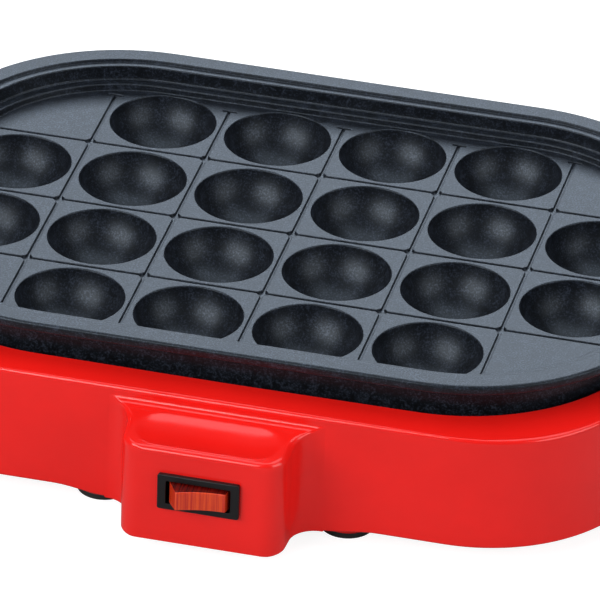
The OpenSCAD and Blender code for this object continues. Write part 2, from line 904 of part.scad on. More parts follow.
module terminal_block() {
    color(white)
        placed()
            translate([block_x, block_y, block_z])
                difference() {
                    union() {
                        translate([-block_l / 2 + 6, -block_w / 2, 0])
                            cube([block_l - 12, block_w, block_h]);
                        translate([-block_l / 2, -block_w / 4, 0]) cube([block_l, block_w / 2, 4]);
                    }
                    for (x = pole_x) {
                        translate([x, 0, block_h / 2])
                            rotate([90, 0, 0]) cylinder(r = 2.1, h = 2 * block_w, center = true);
                        for (t = [-1, 1]) {
                            translate([x, t * 5, block_h / 2]) cylinder(r = 1.7, h = block_h);
                        }
                    }
                    translate([pole_x[1], -bridge_w / 2 - gap, block_h / 2 - bridge_t / 2 - gap])
                        cube([pole_x[2] - pole_x[1], bridge_w + 2 * gap, bridge_t + 2 * gap]);
                    for (s = [-1, 1]) {
                        translate([s * (block_l / 2 - 3), 0, -1]) cylinder(r = 1.8, h = 8);
                    }
                }
}

module terminal_sleeves() {
    color(brass)
        placed()
            translate([block_x, block_y, pole_z])
                difference() {
                    union() {
                        for (x = pole_x) {
                            translate([x, 0, 0])
                                rotate([90, 0, 0])
                                    cylinder(r = 2.05, h = block_w - 3, center = true, $fn = 48);
                        }
                        translate([pole_x[1], -bridge_w / 2, -bridge_t / 2])
                            cube([pole_x[2] - pole_x[1], bridge_w, bridge_t]);
                    }
                    for (x = pole_x) {
                        translate([x, 0, 0])
                            rotate([90, 0, 0]) cylinder(r = 1.3, h = block_w, center = true, $fn = 48);
                    }
                }
}

module terminal_screws() {
    color(steel)
        placed()
            translate([block_x, block_y, pole_z])
                for (x = pole_x, t = [-1, 1]) {
                    translate([x, t * 5, 2.05]) cylinder(r = 1.5, h = 3.4, $fn = 48);
                }
}

module block_screws() {
    color(steel)
        placed()
            for (s = [-1, 1]) {
                translate([block_x + s * (block_l / 2 - 3), block_y, block_z + 4])
                    rotate([180, 0, 0]) screw(1.6, 6, 2.8, 1.6);
            }
}

module cord_gland() {
    color(black)
        placed()
            translate([gland_x, 0, gland_z])
                rotate([-90, 0, 0])
                    difference() {
                        union() {
                            translate([0, 0, gland_y]) cylinder(r = gland_flange_r, h = gland_flange_t);
                            translate([0, 0, gland_in_y - gland_inner_t])
                                cylinder(r = gland_neck_r, h = gland_y - gland_in_y + gland_inner_t + 1);
                            translate([0, 0, gland_in_y - gland_inner_t])
                                cylinder(r = gland_flange_r - 1, h = gland_inner_t);
                        }
                        translate([0, 0, gland_in_y - 20]) cylinder(d = gland_bore_d, h = 60);
                    }
}

module cord_clamp() {
    top = cover_z + cover_t + clamp_post_h;
    color(black)
        placed()
            difference() {
                union() {
                    translate([gland_x - clamp_half, clamp_y - 4, top]) cube([2 * clamp_half, 8, 3]);
                    for (s = [-1, 1]) {
                        translate([gland_x + s * clamp_half, clamp_y, top]) cylinder(r = 4, h = 3);
                    }
                }
                for (s = [-1, 1]) {
                    translate([gland_x + s * clamp_half, clamp_y, top - 1]) cylinder(r = 2, h = 6);
                }
            }
}

module clamp_screws() {
    top = cover_z + cover_t + clamp_post_h + 3;
    color(steel)
        placed()
            for (s = [-1, 1]) {
                translate([gland_x + s * clamp_half, clamp_y, top])
                    rotate([180, 0, 0]) screw(screw_r, 9, 3.2, 2);
            }
}

// Flat push-on receptacle over the end of a blade, its long side along Z
module crimp(w) {
    difference() {
        cube([2.4, w + 1.4, crimp_l], center = true);
        cube([0.9, w + 0.1, crimp_l + 1], center = true);
    }
}

module crimp_terminals() {
    color(brass)
        placed() {
            for (s = [-1, 1]) {
                translate([s * stat_blade_x, 0, stat_blade_z + crimp_over]) crimp(6.3);
                translate([heater_x1, s * heater_y, pin_end_z - crimp_over])
                    difference() {
                        cylinder(r = 2.3, h = crimp_l, center = true, $fn = 48);
                        translate([0, 0, 1]) cylinder(r = pin_r, h = crimp_l, center = true, $fn = 48);
                    }
            }
            for (x = blade_x) {
                translate([x, switch_lead_y - crimp_l / 2, switch_z]) rotate([90, 0, 0]) crimp(4.8);
            }
        }
}

// Insulated lead along its route
module lead(points, tint) {
    color(tint) placed() bent_bar(points, wire_d, wire_bend, wire_swell);
}

module live_lead() {
    lead([
        [block_x + pole_x[0], block_y - block_w / 2 + 1.5, pole_z],
        [block_x + pole_x[0], 52, pole_z],
        [-30, 52, pole_z],
        [-30, -86, pole_z],
        [-9, -86, switch_z],
        [-9, switch_lead_y, switch_z]
    ], [0.1, 0.1, 0.1]);
}

module switched_lead() {
    lead([
        [0, switch_lead_y, switch_z],
        [0, -88, switch_z],
        [0, -76, wire_low_z],
        [-stat_blade_x, -18, wire_low_z],
        [-stat_blade_x, 0, wire_low_z],
        [-stat_blade_x, 0, stat_lead_z]
    ], [0.85, 0.85, 0.82]);
}

module heater_lead() {
    lead([
        [stat_blade_x, 0, stat_lead_z],
        [stat_blade_x, 0, wire_low_z],
        [stat_blade_x + 12, -14, wire_low_z],
        [heater_x1 - 12, -heater_y, wire_low_z],
        [heater_x1, -heater_y, wire_low_z],
        [heater_x1, -heater_y, pin_lead_z]
    ], [0.85, 0.85, 0.82]);
}

module fuse_lead() {
    lead([
        [heater_x1, heater_y, pin_lead_z],
        [heater_x1, heater_y, wire_low_z],
        [heater_x1 - 12, heater_y, wire_low_z],
        [fuse_x + fuse_len / 2 + 14, fuse_y, fuse_z],
        [fuse_x + fuse_len / 2 + 4, fuse_y, fuse_z]
    ], [0.85, 0.85, 0.82]);
}

module neutral_lead() {
    lead([
        [fuse_x - fuse_len / 2 - 4, fuse_y, fuse_z],
        [fuse_x - fuse_len / 2 - 20, fuse_y, fuse_z],
        [block_x + pole_x[1], 48, pole_z],
        [block_x + pole_x[1], block_y - block_w / 2 + 1.5, pole_z]
    ], [0.9, 0.9, 0.88]);
}

module lamp_lead() {
    lead([
        [9, switch_lead_y, switch_z],
        [9, -90, switch_z],
        [20, -76, pole_z],
        [block_x + pole_x[2], -40, pole_z],
        [block_x + pole_x[2], block_y - block_w / 2 + 1.5, pole_z]
    ], [0.9, 0.9, 0.88]);
}

module cover_screws() {
    color(steel)
        placed()
            for (p = cover_fix) {
                translate([p[0], p[1], cover_z]) screw(screw_r, 12, screw_head_r, screw_head_t);
            }
}

// Rubber foot number i under its boss
module rubber_foot(i) {
    color(black)
        placed()
            translate([foot_xy[i][0], foot_xy[i][1], 0])
                difference() {
                    union() {
                        cylinder(r = foot_r, h = foot_t - 0.8);
                        translate([0, 0, foot_t - 0.8]) cylinder(r1 = foot_r, r2 = foot_r - 0.5, h = 0.8);
                    }
                    translate([0, 0, -1]) cylinder(r = screw_head_r + 0.4, h = 2.4);
                    translate([0, 0, -1]) cylinder(r = 1.9, h = 10);
                }
}

module front_left_foot() {
    rubber_foot(0);
}

module front_right_foot() {
    rubber_foot(1);
}

module rear_left_foot() {
    rubber_foot(2);
}

module rear_right_foot() {
    rubber_foot(3);
}

module foot_screws() {
    color(steel)
        placed()
            for (p = foot_xy) {
                translate([p[0], p[1], 1.4]) screw(screw_r, 8, screw_head_r, 1);
            }
}

cooking_plate();
housing();
bottom_cover();
heat_shield();
shield_spacers();
shield_screws();
heating_element();
heater_pins();
heater_bushes();
heater_clips();
clip_rivets();
thermostat_cap();
thermostat_body();
thermostat_blades();
thermostat_screws();
thermal_fuse();
fuse_clip();
switch_frame();
rocker();
switch_lamp();
switch_blades();
terminal_block();
terminal_sleeves();
terminal_screws();
block_screws();
cord_gland();
cord_clamp();
clamp_screws();
crimp_terminals();
live_lead();
switched_lead();
heater_lead();
fuse_lead();
neutral_lead();
lamp_lead();
cover_screws();
front_left_foot();
front_right_foot();
rear_left_foot();
rear_right_foot();
foot_screws();
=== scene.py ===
import json
import math

import bpy
from mathutils import Matrix, Vector
from mathutils.geometry import delaunay_2d_cdt

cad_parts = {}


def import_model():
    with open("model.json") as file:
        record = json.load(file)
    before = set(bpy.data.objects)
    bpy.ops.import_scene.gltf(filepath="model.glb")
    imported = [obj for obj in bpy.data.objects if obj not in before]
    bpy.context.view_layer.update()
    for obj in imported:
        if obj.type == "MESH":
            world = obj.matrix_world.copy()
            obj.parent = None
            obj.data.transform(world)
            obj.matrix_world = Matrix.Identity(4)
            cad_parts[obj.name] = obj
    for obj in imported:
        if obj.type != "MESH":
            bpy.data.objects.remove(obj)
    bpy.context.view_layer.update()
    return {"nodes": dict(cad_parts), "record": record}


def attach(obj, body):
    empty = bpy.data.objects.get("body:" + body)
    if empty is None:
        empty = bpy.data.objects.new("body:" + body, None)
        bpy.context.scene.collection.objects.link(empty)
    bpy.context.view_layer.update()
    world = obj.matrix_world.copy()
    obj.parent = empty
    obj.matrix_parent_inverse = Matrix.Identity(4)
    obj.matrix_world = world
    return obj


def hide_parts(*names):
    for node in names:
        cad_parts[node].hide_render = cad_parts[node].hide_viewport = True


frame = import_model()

# ---------------------------------------------------------------- sizes, in millimetres
PLATE_Y = 14.3368          # the plate's centre lies this far behind the origin
COOK_Z = 62.0              # cooking surface above the table
PITCH = 45.0               # between neighbouring cavities
BALL_R = 20.3              # radius of a cavity
BALL_Z = 64.3              # height of a cavity's centre
BOWL_R = 22.4              # outer radius of the cast bowl under a cavity
PLATE = (150.0, 105.0, 78.0)       # the rim's half length, half width and corner radius
PLATE_STEPS = {"corner": 28, "along": 8, "across": 4}
TRAY_INSET = 17.2          # from the rim's edge to the cooking surface
SKIRT_INSET = 9.0
WEB_INSET = 16.0
LEDGE_Z = COOK_Z + 2.5
SHOULDER_Z = 70.1
RIM_Z = 71.3
LIP_Z = 67.3               # underside of the overhanging rim
WEB_Z = 59.0               # underside of the plate between its bowls
SKIRT_Z = 46.8
CHANNEL_DEPTH = 1.0
HOUSE = (148.0, 112.5, 62.0)       # the housing's foot: half length, half width and corner radius
DECK = (143.8, 100.3, 74.2)        # the housing's opening
WALL_Y = 112.45            # the wall's plane behind the pod
WALL_LEAN = 1.1 / 45
POD_FACE = 136.0
POD_TOP_Z = 46.2           # the pod's top at its front edge
POD_EDGE_R = 1.7           # between the pod's face and its top
POD_SLOPE = math.radians(8)
DISH_R = 44.0
DISH_DEPTH = 1.0
DISH_HALF = 17.5           # half length of the dish's straight part
DISH_MID = 10.3            # from the pod's front edge to the dish's middle
DISH_SOFT = 0.2            # width of the dish's softened rim
SWITCH_Z = 29.4
PIVOT_Y = -132.5
ROCKER_TILT = math.radians(11.5)
FLOOR_HALF = 6.0           # in metres


# ---------------------------------------------------------------- mesh helpers
class Sheet:
    """Collects vertices in millimetres round the plate's centre, and faces with a smooth flag."""

    def __init__(self):
        self.verts = []
        self.faces = []
        self.smooth = []
        self.mats = []

    def add(self, points):
        start = len(self.verts)
        self.verts.extend(tuple(p) for p in points)
        return list(range(start, start + len(points)))

    def face(self, ids, smooth=True, mat=0):
        self.faces.append(tuple(ids))
        self.smooth.append(smooth)
        self.mats.append(mat)

    def skin(self, paths, smooth=True):
        """Grid of quads over paths of equal length; the last path joins the first."""
        rows = [self.add(p) for p in paths]
        for i, a in enumerate(rows):
            b = rows[(i + 1) % len(rows)]
            for j in range(len(a) - 1):
                self.face((a[j], b[j], b[j + 1], a[j + 1]), smooth)
        return rows

    def make(self, name, materials):
        mesh = bpy.data.meshes.new(name)
        mesh.from_pydata(
            [(x / 1000, (y + PLATE_Y) / 1000, z / 1000) for x, y, z in self.verts], [], self.faces
        )
        for m in materials:
            mesh.materials.append(m)
        mesh.polygons.foreach_set("use_smooth", self.smooth)
        mesh.polygons.foreach_set("material_index", self.mats)
        mesh.update()
        obj = bpy.data.objects.new(name, mesh)
        bpy.context.scene.collection.objects.link(obj)
        w = obj.modifiers.new("normals", "WEIGHTED_NORMAL")
        w.weight = 80
        w.keep_sharp = True
        return obj


def fillet_path(points, radii, steps=4):
    """Polyline through the points, each inner corner rounded by its radius."""
    pts = [Vector(p) for p in points]
    out = [pts[0].copy()]
    for i in range(1, len(pts) - 1):
        p = pts[i]
        u = (pts[i - 1] - p).normalized()
        v = (pts[i + 1] - p).normalized()
        r = radii[i]
        cosine = max(-1.0, min(1.0, u.dot(v)))
        half = math.acos(cosine) / 2
        if r <= 0 or half > math.pi / 2 - 1e-3:
            out.extend([p.copy()] * (steps + 1))
            continue
        back = min(r / math.tan(half), 0.45 * (pts[i - 1] - p).length, 0.45 * (pts[i + 1] - p).length)
        r = back * math.tan(half)
        centre = p + (u + v).normalized() * (r / math.sin(half))
        a = p + u * back - centre
        b = p + v * back - centre
        turn = math.pi - 2 * half
        for k in range(steps + 1):
            t = k / steps
            out.append(centre + (a * math.sin((1 - t) * turn) + b * math.sin(t * turn)) / math.sin(turn))
    out.append(pts[-1].copy())
    return out


def contour(a, b, r, corner=20, along=6, across=4):
    """Points of a rounded rectangle, counter-clockwise from its right side."""
    pts = []
    for q, (sx, sy) in enumerate(((1, 1), (-1, 1), (-1, -1), (1, -1))):
        cx, cy = sx * (a - r), sy * (b - r)
        for k in range(corner + 1):
            t = (q + k / corner) * math.pi / 2
            pts.append((cx + r * math.cos(t), cy + r * math.sin(t)))
        x0, y0 = pts[-1]
        nsx, nsy = ((-1, 1), (-1, -1), (1, -1), (1, 1))[q]
        t = (q + 1) * math.pi / 2
        x1, y1 = nsx * (a - r) + r * math.cos(t), nsy * (b - r) + r * math.sin(t)
        n = along if q % 2 == 0 else across
        for k in range(1, n):
            f = k / n
            pts.append((x0 + (x1 - x0) * f, y0 + (y1 - y0) * f))
    return pts


def ring_profile(levels, radii, steps=4, **count):
    """Paths over contour levels (a, b, r, z): one filleted path at each station round the contour."""
    rings = [[(x, y, z) for x, y in contour(a, b, r, **count)] for a, b, r, z in levels]
    return [fillet_path([ring[k] for ring in rings], radii, steps) for k in range(len(rings[0]))]


def inset(base, d, z):
    """Contour level at the height z, set in by d."""
    return (base[0] - d, base[1] - d, base[2] - d, z)


# ---------------------------------------------------------------- materials
def material(name, color, roughness, metallic=0.0, coat=0.0, ior=1.5):
    m = bpy.data.materials.new(name)
    m.use_nodes = True
    b = m.node_tree.nodes["Principled BSDF"]
    b.inputs["Base Color"].default_value = (*color, 1)
    b.inputs["Roughness"].default_value = roughness
    b.inputs["Metallic"].default_value = metallic
    b.inputs["Coat Weight"].default_value = coat
    b.inputs["Coat Roughness"].default_value = 0.05
    b.inputs["IOR"].default_value = ior
    return m, m.node_tree, b


def coords(tree, scale=(1, 1, 1)):
    tc = tree.nodes.new("ShaderNodeTexCoord")
    mp = tree.nodes.new("ShaderNodeMapping")
    mp.inputs["Scale"].default_value = scale
    tree.links.new(tc.outputs["Object"], mp.inputs["Vector"])
    return mp.outputs["Vector"]


def noise(tree, vector, scale, detail=3.0, rough=0.55):
    n = tree.nodes.new("ShaderNodeTexNoise")
    n.inputs["Scale"].default_value = scale
    n.inputs["Detail"].default_value = detail
    n.inputs["Roughness"].default_value = rough
    tree.links.new(vector, n.inputs["Vector"])
    return n.outputs["Fac"]


def ramp(tree, value, stops):
    r = tree.nodes.new("ShaderNodeValToRGB")
    e = r.color_ramp.elements
    while len(e) < len(stops):
        e.new(0.5)
    for item, (pos, color) in zip(e, stops):
        item.position = pos
        item.color = (*color, 1) if isinstance(color, tuple) else (color, color, color, 1)
    tree.links.new(value, r.inputs["Fac"])
    return r.outputs["Color"]


def bump(tree, shader, height, strength, distance):
    b = tree.nodes.new("ShaderNodeBump")
    b.inputs["Strength"].default_value = strength
    b.inputs["Distance"].default_value = distance
    tree.links.new(height, b.inputs["Height"])
    tree.links.new(b.outputs["Normal"], shader.inputs["Normal"])
    return b


def spread(color, factor):
    """The colour made lighter or darker by a factor."""
    return tuple(min(1.0, v * factor) for v in color)


def plastic(name, color, roughness, coat=0.0, grain=900.0, depth=0.00001, wave=0.0, ior=1.5):
    """Moulded plastic: faint flow marks in the colour, and a fine moulded texture."""
    m, t, b = material(name, color, roughness, coat=coat, ior=ior)
    v = coords(t)
    t.links.new(ramp(t, noise(t, v, 22, 4), [(0.3, spread(color, 0.93)), (0.7, spread(color, 1.05))]),
                b.inputs["Base Color"])
    t.links.new(ramp(t, noise(t, v, 60, 3), [(0.3, max(0.02, roughness - 0.04)), (0.7, roughness + 0.05)]),
                b.inputs["Roughness"])
    fine = bump(t, b, noise(t, v, grain, 2), 0.25, depth)
    if wave:
        broad = bump(t, b, noise(t, v, 28, 1), wave, 0.0004)
        t.links.new(broad.outputs["Normal"], fine.inputs["Normal"])
        t.links.new(fine.outputs["Normal"], b.inputs["Normal"])
    return m


def metal(name, color, roughness, stretch=(1, 1, 1), scale=400.0):
    """Sheet or turned metal with fine drawn lines and a little tarnish."""
    m, t, b = material(name, color, roughness, metallic=1.0)
    v = coords(t, stretch)
    fac = noise(t, v, scale, 4)
    t.links.new(ramp(t, fac, [(0.25, spread(color, 0.8)), (0.75, spread(color, 1.1))]), b.inputs["Base Color"])
    t.links.new(ramp(t, noise(t, coords(t), 45, 4), [(0.3, roughness - 0.06), (0.7, roughness + 0.14)]),
                b.inputs["Roughness"])
    bump(t, b, fac, 0.2, 0.00003)
    return m


def coating():
    """Speckled non-stick coating: grey flakes in a near-black matte film."""
    m, t, b = material("coating", (0.062, 0.068, 0.08), 0.42)
    v = coords(t)
    grains = noise(t, v, 1500, 2, 0.7)
    cloud = noise(t, v, 260, 3)
    mix = t.nodes.new("ShaderNodeMath")
    mix.operation = "MULTIPLY_ADD"
    mix.inputs[1].default_value = 0.35
    t.links.new(cloud, mix.inputs[0])
    t.links.new(grains, mix.inputs[2])
    film, grey, flake = (0.001, 0.001, 0.0013), (0.003, 0.0038, 0.0058), (0.024, 0.03, 0.044)
    t.links.new(ramp(t, mix.outputs[0], [(0.5, film), (0.68, grey), (0.85, flake)]), b.inputs["Base Color"])
    t.links.new(ramp(t, grains, [(0.35, 0.44), (0.65, 0.34)]), b.inputs["Roughness"])
    b.inputs["Specular Tint"].default_value = (0.74, 0.86, 1.0, 1)
    b.inputs["Specular IOR Level"].default_value = 0.36
    bump(t, b, grains, 0.3, 0.00004)
    return m


mats = {
    "coating": coating(),
    "red_plastic": plastic("red_plastic", (0.82, 0.011, 0.008), 0.13, wave=0.02, ior=1.45),
    "tinned_steel": metal("tinned_steel", (0.62, 0.62, 0.6), 0.35, (1, 12, 1)),
    "zinc_steel": metal("zinc_steel", (0.6, 0.61, 0.62), 0.3),
    "heater_sheath": metal("heater_sheath", (0.22, 0.19, 0.17), 0.45, (6, 6, 6), 200),
    "insulator": plastic("insulator", (0.8, 0.78, 0.72), 0.5),
    "ceramic": plastic("ceramic", (0.82, 0.8, 0.75), 0.65, grain=1600, depth=0.00003),
    "aluminium": metal("aluminium", (0.75, 0.76, 0.77), 0.38),
    "black_plastic": plastic("black_plastic", (0.004, 0.0035, 0.004), 0.36,
                             grain=1500, depth=0.00002, ior=1.4),
    "lamp_glass": plastic("lamp_glass", (0.95, 0.55, 0.3), 0.08, coat=0.5),
    "brass": metal("brass", (0.75, 0.56, 0.24), 0.3),
    "black_sheath": plastic("black_sheath", (0.02, 0.02, 0.02), 0.45),
    "white_sheath": plastic("white_sheath", (0.75, 0.75, 0.72), 0.45),
    "foot_rubber": plastic("foot_rubber", (0.018, 0.018, 0.018), 0.75, grain=700, depth=0.00005),
}


def amber(name, low, high, glow=0.3):
    """Amber lens plastic: deep orange with darker and lighter upright streaks."""
    m, t, b = material(name, high, 0.24, coat=0.1)
    v = coords(t, (1, 0.02, 0.02))
    t.links.new(ramp(t, noise(t, v, 1100, 4, 0.7), [(0.38, low), (0.6, high)]), b.inputs["Base Color"])
    b.inputs["Subsurface Weight"].default_value = glow
    b.inputs["Subsurface Radius"].default_value = (0.004, 0.0012, 0.0004)
    b.inputs["Subsurface Scale"].default_value = 1.0
    bump(t, b, noise(t, v, 900, 2), 0.15, 0.00002)
    return m


mats["amber_plastic"] = amber("amber_plastic", (0.48, 0.018, 0.006), (0.68, 0.062, 0.008))
# Darker copy of the amber lens, about a fifth as bright, for the rocker's top and bottom faces: painted shade
amber_painted_shade = amber("amber_painted_shade", (0.045, 0.001, 0.001), (0.14, 0.004, 0.002), 0.1)
amber_end = amber("amber_end", (0.5, 0.025, 0.007), (0.62, 0.04, 0.009))
slots = {s["node"]: s["material_slot"] for s in frame["record"]["subparts"]}
for name, obj in frame["nodes"].items():
    obj.data.materials.clear()
    obj.data.materials.append(mats[slots[name]])


# ---------------------------------------------------------------- cooking plate
def inside(poly, x, y):
    """Whether the point lies in the polygon."""
    hit = False
    for i in range(len(poly)):
        x0, y0 = poly[i]
        x1, y1 = poly[i - 1]
        if (y0 > y) != (y1 > y) and x < (x1 - x0) * (y - y0) / (y1 - y0) + x0:
            hit = not hit
    return hit


def triangles(polys, keep):
    """Triangulate all outlines together and keep the triangles whose middle passes the test."""
    points, edges = [], []
    for poly in polys:
        start = len(points)
        points.extend(Vector(p) for p in poly)
        edges.extend((start + i, start + (i + 1) % len(poly)) for i in range(len(poly)))
    v, _, f, _, _, _ = delaunay_2d_cdt(points, edges, [], 0, 1e-5)
    kept = []
    for tri in f:
        cx = sum(v[i].x for i in tri) / len(tri)
        cy = sum(v[i].y for i in tri) / len(tri)
        if keep(cx, cy):
            kept.append(tri)
    return v, kept


def outline_loops(polys):
    """Outer loops of the union of simple polygons, counter-clockwise, without collinear points."""
    v, f = triangles(polys, lambda x, y: any(inside(p, x, y) for p in polys))
    edges = {}
    for tri in f:
        for i in range(len(tri)):
            a, b = tri[i], tri[(i + 1) % len(tri)]
            if (b, a) in edges:
                del edges[(b, a)]
            else:
                edges[(a, b)] = True
    following = {a: b for a, b in edges}
    loops = []
    while following:
        first = next(iter(following))
        loop, at = [], first
        while at in following:
            loop.append((v[at].x, v[at].y))
            at = following.pop(at)
        clean = []
        for i in range(len(loop)):
            p, q, r = loop[i - 1], loop[i], loop[(i + 1) % len(loop)]
            if abs((q[0] - p[0]) * (r[1] - q[1]) - (q[1] - p[1]) * (r[0] - q[0])) > 1e-4:
                clean.append(q)
        loops.append(clean)
    return loops


def offset_loop(loop, d):
    """Move a loop outwards (to its right when counter-clockwise) by d."""
    out = []
    n = len(loop)
    for i in range(n):
        p, q, r = Vector(loop[i - 1]), Vector(loop[i]), Vector(loop[(i + 1) % n])
        a, b = (q - p).normalized(), (r - q).normalized()
        na, nb = Vector((a.y, -a.x)), Vector((b.y, -b.x))
        m = na + nb
        m = m / max(0.35, m.length_squared / 2)
        out.append((q.x + m.x * d, q.y + m.y * d))
    return out


def band(cx, cy, w, h, turn=0.0):
    """Rectangle w by h round (cx, cy), turned."""
    c, s = math.cos(turn), math.sin(turn)
    return [(cx + x * c - y * s, cy + x * s + y * c)
            for x, y in ((-w / 2, -h / 2), (w / 2, -h / 2), (w / 2, h / 2), (-w / 2, h / 2))]


def channel_outline():
    """Outline of the dividing channels: crossing lines, diamonds at the crossings, T ends."""
    width, corner, end_x, end_y = 1.0, 2.6, 132.9, 82.5
    polys = []
    for j in (-1, 0, 1):
        reach = end_x if j == 0 else end_x - 4
        polys.append(band(0, j * PITCH, 2 * reach, width))
    for i in range(-2, 3):
        polys.append(band(i * PITCH, 0, width, 2 * end_y))
        for j in (-1, 0, 1):
            side = corner * math.sqrt(2)
            polys.append(band(i * PITCH, j * PITCH, side, side, math.pi / 4))
        for s in (-1, 1):
            polys.append(band(i * PITCH, s * end_y, 2 * corner, width))
    return outline_loops(polys)


def cavity_centres():
    """Centres of the cavities: two long rows between two short ones."""
    for row in (-1.5, -0.5, 0.5, 1.5):
        span = 2.5 if abs(row) < 1 else 1.5
        col = -span
        while col <= span:
            yield col * PITCH, row * PITCH
            col += 1


def flat_with_holes(s, edge, holes, z):
    """Flat faces at height z between the edge and the holes."""
    boxes = [(min(p[0] for p in b), max(p[0] for p in b), min(p[1] for p in b), max(p[1] for p in b))
             for b in holes]

    def solid(x, y):
        if not inside(edge, x, y):
            return False
        odd = 0
        for b, (x0, x1, y0, y1) in zip(holes, boxes):
            if x0 < x < x1 and y0 < y < y1 and inside(b, x, y):
                odd += 1
        return odd % 2 == 0

    v, tris = triangles([edge] + holes, solid)
    ids = s.add([(p.x, p.y, z) for p in v])
    for tri in tris:
        s.face([ids[i] for i in tri], smooth=False)


def build_plate():
    s = Sheet()
    levels = [inset(PLATE, TRAY_INSET, COOK_Z), inset(PLATE, TRAY_INSET - 1, COOK_Z),
              inset(PLATE, TRAY_INSET - 1.3, LEDGE_Z), inset(PLATE, 11.9, LEDGE_Z),
              inset(PLATE, 11.6, SHOULDER_Z), inset(PLATE, 8.5, SHOULDER_Z),
              inset(PLATE, 8.2, RIM_Z), inset(PLATE, 0, RIM_Z),
              inset(PLATE, 0.7, LIP_Z), inset(PLATE, SKIRT_INSET, LIP_Z),
              inset(PLATE, SKIRT_INSET, SKIRT_Z), inset(PLATE, SKIRT_INSET + 3, SKIRT_Z),
              inset(PLATE, SKIRT_INSET + 3, WEB_Z), inset(PLATE, WEB_INSET, WEB_Z)]
    radii = [0, 0.8, 0.6, 0.9, 0.5, 0.4, 0.45, 1.1, 1.0, 1.2, 0.6, 0.6, 1.5, 0]
    s.skin(ring_profile(levels, radii, **PLATE_STEPS))

    # channels: rounded shoulders, then a flat bottom
    loops = channel_outline()
    shoulders = ((0.26, 0.0), (0.14, -0.05), (0.04, -0.18), (0.0, -0.4), (-0.06, -0.8),
                 (-0.16, -CHANNEL_DEPTH))
    rims = []
    for loop in loops:
        rings = [[(x, y, COOK_Z + dz) for x, y in offset_loop(loop, d)] for d, dz in shoulders]
        s.skin([[ring[k] for ring in rings] for k in range(len(loop))])
        rims.append([p[:2] for p in rings[0]])
    lows = [offset_loop(loop, shoulders[-1][0]) for loop in loops]
    v, tris = triangles(lows, lambda x, y: sum(inside(p, x, y) for p in lows) % 2 == 1)
    ids = s.add([(p.x, p.y, COOK_Z - CHANNEL_DEPTH) for p in v])
    for tri in tris:
        s.face([ids[i] for i in tri], smooth=False)

    # cavities: rounded mouth, sphere, and the cast bowl below
    turn = 80
    depth = BALL_Z - COOK_Z
    mouth = math.sqrt(BALL_R ** 2 - depth ** 2)
    start = math.asin(depth / BALL_R)
    low = [start + (math.pi / 2 - start) * k / 22 for k in range(1, 23)]
    corner = [(mouth + 1.1, COOK_Z), (mouth, COOK_Z),
              (BALL_R * math.cos(low[0]), BALL_Z - BALL_R * math.sin(low[0]))]
    lip = fillet_path([(x, 0, z) for x, z in corner], [0, 1.0, 0], 5)
    profile = [(p.x, p.z) for p in lip] + [
        (BALL_R * math.cos(a), BALL_Z - BALL_R * math.sin(a)) for a in low[1:-1]]
    rim = math.asin((BALL_Z - WEB_Z) / BOWL_R)
    shell = [(BOWL_R * math.cos(a), BALL_Z - BOWL_R * math.sin(a))
             for a in (rim + (math.pi / 2 - rim) * k / 10 for k in range(10))]
    holes, stems = [], []
    for cx, cy in cavity_centres():
        for line, tip in ((profile, BALL_Z - BALL_R), (shell, BALL_Z - BOWL_R)):
            paths = []
            for k in range(turn):
                c, q = math.cos(2 * math.pi * k / turn), math.sin(2 * math.pi * k / turn)
                paths.append([(cx + r * c, cy + r * q, z) for r, z in line])
            rows = s.skin(paths)
            pole = s.add([(cx, cy, tip)])[0]
            for k in range(turn):
                s.face((rows[k][-1], rows[(k + 1) % turn][-1], pole))
            (holes if line is profile else stems).append([p[0][:2] for p in paths])

    # the flat top between ledge, channels and mouths, and the underside between the bowls
    edge = contour(*inset(PLATE, TRAY_INSET, COOK_Z)[:3], **PLATE_STEPS)
    under = contour(*inset(PLATE, WEB_INSET, WEB_Z)[:3], **PLATE_STEPS)
    flat_with_holes(s, edge, rims + holes, COOK_Z)
    flat_with_holes(s, under, stems, WEB_Z)
    obj = s.make("cooking_plate_casting", [mats["coating"]])
    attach(obj, "plate")
    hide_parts("cooking_plate")


# ---------------------------------------------------------------- housing
def blend(r, t):
    """How far a round of radius r stands off its flat at the distance t from its start."""
    return r - math.sqrt(max(0.0, r ** 2 - max(0.0, r - t) ** 2))


def between(p, q, n):
    """Points that divide the line from p to q into n steps, without its ends."""
    return [(p[0] + (q[0] - p[0]) * k / n, p[1] + (q[1] - p[1]) * k / n) for k in range(1, n)]


def quarter(cx, cz, r, start, n):
    """Clockwise quarter circle round (cx, cz) from the angle start, with both ends."""
    angles = [start - math.pi / 2 * k / n for k in range(n + 1)]
    return [(cx + r * math.cos(a), cz + r * math.sin(a)) for a in angles]


def pod_ring(half, top, low, ru, rl):
    """Pod's front view, clockwise from its upper left corner, its corners rounded by ru and rl."""
    top_n, side_n, low_n, arc_n = 76, 26, 12, 8
    xu, xl, zu, zl = half - ru, half - rl, top - ru, low + rl
    ring = [(-xu, top)] + between((-xu, top), (xu, top), top_n) + quarter(xu, zu, ru, math.pi / 2, arc_n)
    ring += between((half, zu), (half, zl), side_n) + quarter(xl, zl, rl, 0, arc_n)
    ring += between((xl, low), (-xl, low), low_n) + quarter(-xl, zl, rl, -math.pi / 2, arc_n)
    return ring + between((-half, zl), (-half, zu), side_n) + quarter(-xu, zu, ru, math.pi, arc_n)[:-1]


